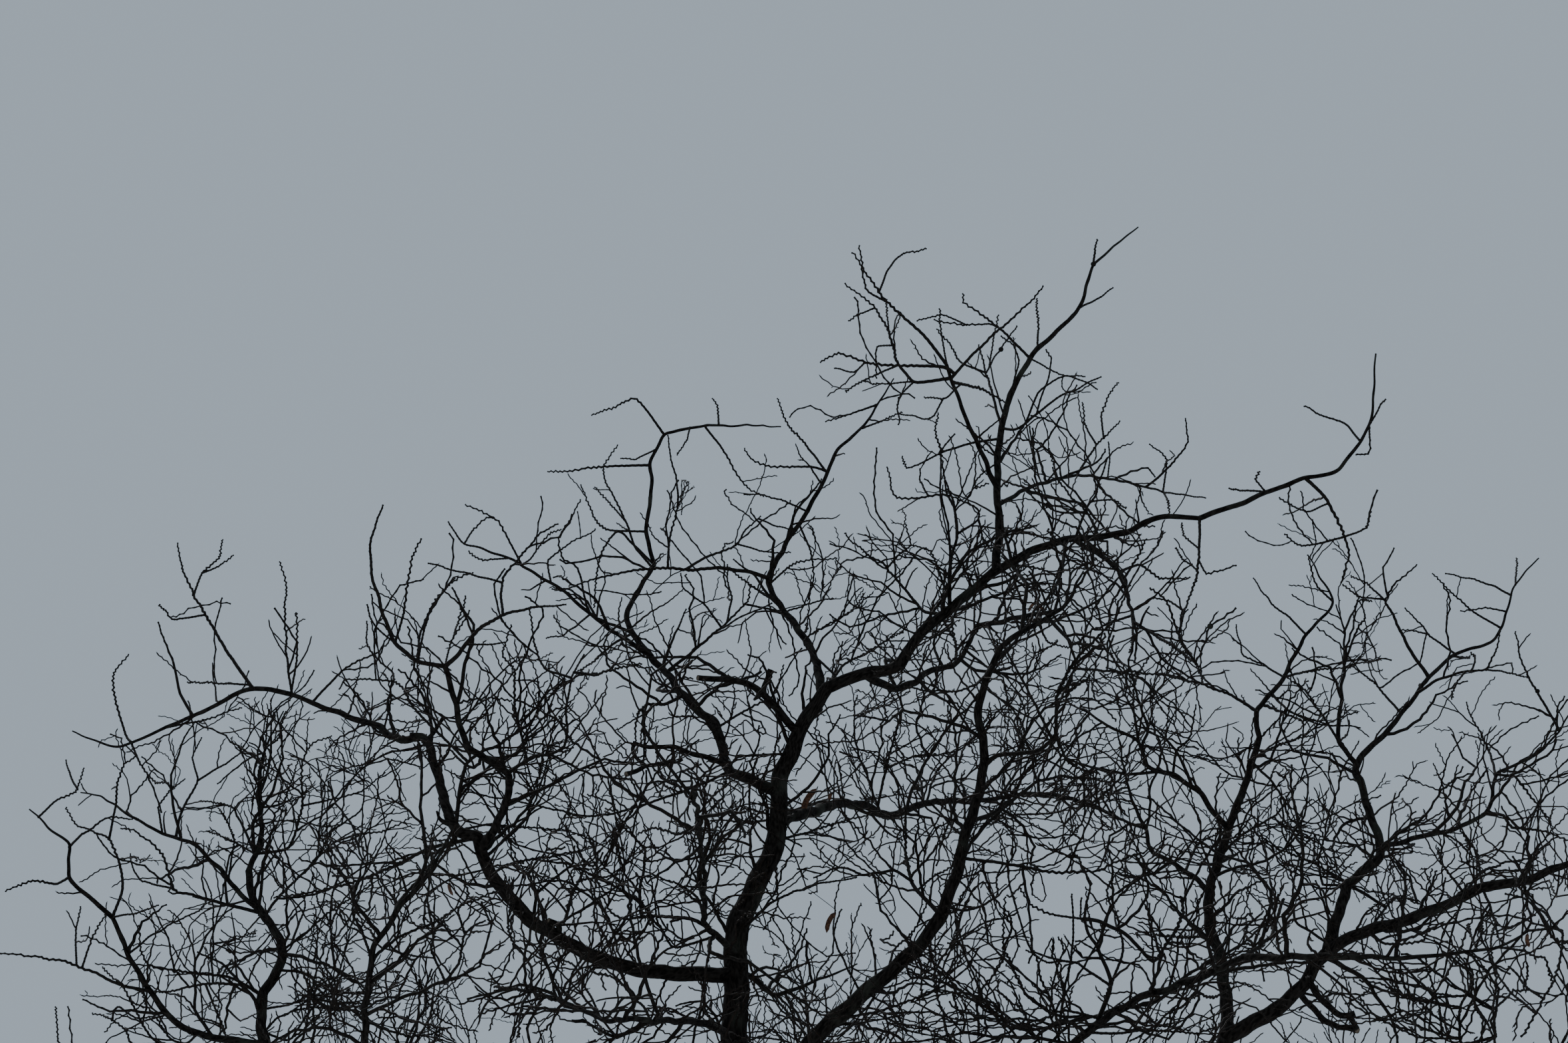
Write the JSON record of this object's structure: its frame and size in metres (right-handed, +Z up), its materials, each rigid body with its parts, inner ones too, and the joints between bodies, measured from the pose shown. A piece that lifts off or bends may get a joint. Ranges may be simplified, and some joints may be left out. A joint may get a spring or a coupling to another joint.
{
  "type": "bare winter tree",
  "caption": "Whole leafless deciduous tree with a low forking trunk, crooked spreading boughs and open masses of fine zigzag twigs.",
  "frame": {"origin": "centre of the trunk's flat cut at ground level", "axes": "+Z up along the trunk, +X to the right of the picture, +Y away from its viewer"},
  "size_m": [9.4977, 9.4015, 10.3017],
  "materials": {
    "bark": "rough fissured grey-brown bark",
    "twigs": "matt dark brown twigs with a few brown seed pods"
  },
  "bodies": {
    "root": {"trunk": "bark", "arm_right": "bark", "arm_upper_right": "bark", "bough_droop": "bark", "bough_far": "bark", "bough_far_left": "bark", "bough_far_low": "bark", "bough_far_right": "bark", "bough_inner_top": "bark", "bough_left_outer": "bark", "bough_left_upper": "bark", "bough_low_right": "bark", "bough_mid_right": "bark", "bough_near": "bark", "bough_near_centre": "bark", "bough_near_left": "bark", "bough_near_low": "bark", "bough_near_right": "bark", "bough_right_riser": "bark", "bough_spray": "bark", "leader_top": "bark", "leader_top_left": "bark", "limb_left": "bark", "limb_left_inner": "bark", "limb_left_outer": "bark", "limb_left_riser": "bark", "limb_pruned": "bark", "stem_centre": "bark", "stem_left": "bark", "stem_near_left": "bark", "stem_near_right": "bark", "stem_right": "bark", "twigs_arm_right": "twigs", "twigs_arm_upper_right": "twigs", "twigs_bough_droop": "twigs", "twigs_bough_far": "twigs", "twigs_bough_far_left": "twigs", "twigs_bough_far_low": "twigs", "twigs_bough_far_right": "twigs", "twigs_bough_inner_top": "twigs", "twigs_bough_left_outer": "twigs", "twigs_bough_left_upper": "twigs", "twigs_bough_low_right": "twigs", "twigs_bough_mid_right": "twigs", "twigs_bough_near": "twigs", "twigs_bough_near_centre": "twigs", "twigs_bough_near_left": "twigs", "twigs_bough_near_low": "twigs", "twigs_bough_near_right": "twigs", "twigs_bough_right_riser": "twigs", "twigs_bough_spray": "twigs", "twigs_leader_top": "twigs", "twigs_leader_top_left": "twigs", "twigs_limb_left_inner": "twigs", "twigs_limb_left_outer": "twigs", "twigs_limb_left_riser": "twigs", "twigs_stem_left": "twigs", "twigs_stem_near_left": "twigs", "twigs_stem_near_right": "twigs", "twigs_stem_right": "twigs"}
  },
  "joints": []
}
